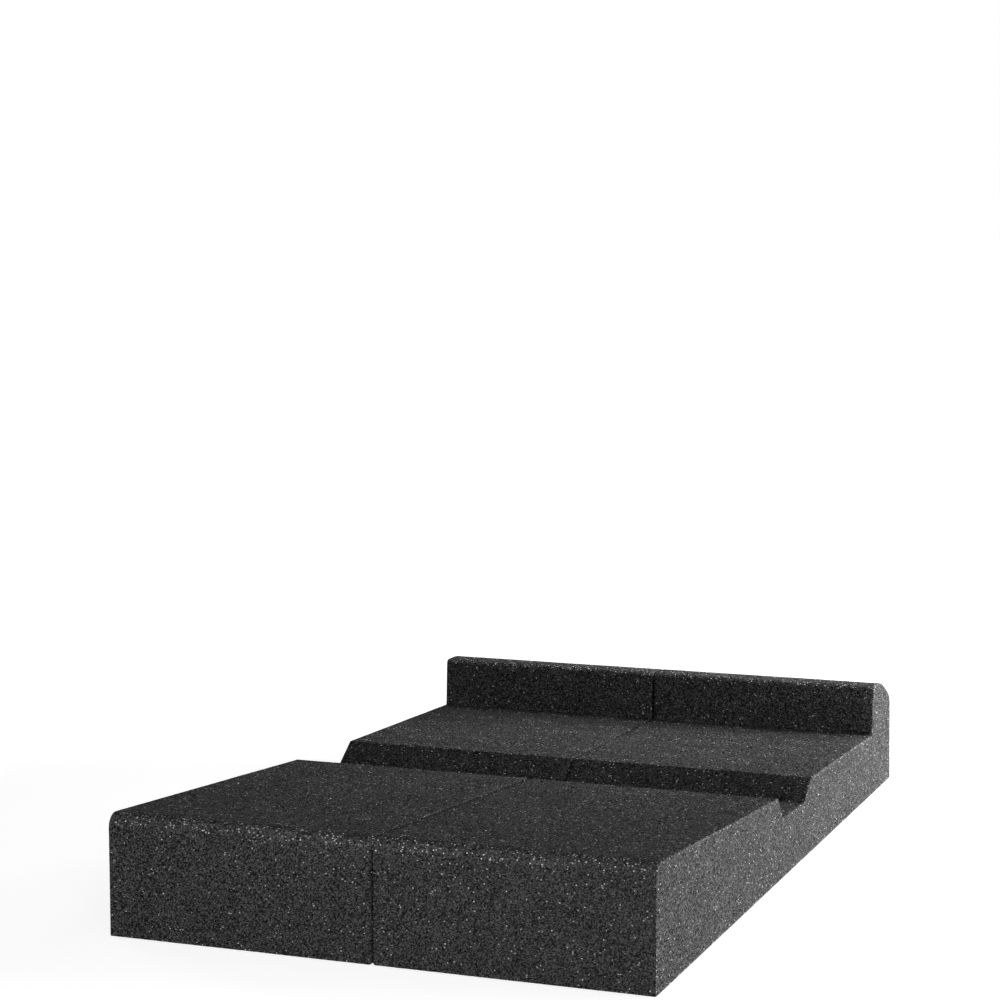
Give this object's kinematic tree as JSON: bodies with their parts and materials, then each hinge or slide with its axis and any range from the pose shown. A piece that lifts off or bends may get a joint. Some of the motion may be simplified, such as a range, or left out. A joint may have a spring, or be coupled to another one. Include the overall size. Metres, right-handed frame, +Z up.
{
  "type": "speaker isolation pad",
  "caption": "Low charcoal foam pad, split down the middle, with a high front, sloping seats, a cross notch and an upright rear lip. It keeps a loudspeaker's vibration out of its shelf.",
  "frame": {"origin": "on the surface the pad lies on, under the middle of its outline, on the seam between the halves", "axes": "+Z up, +Y from the high front face to the lip at the back, +X to the right of someone who looks at the front face"},
  "size_m": [0.2002, 0.35, 0.0475],
  "materials": {
    "foam": "matt open-cell polyurethane foam, charcoal, with fine cut cells"
  },
  "bodies": {
    "root": {"left_half": "foam", "right_half": "foam"}
  },
  "joints": []
}
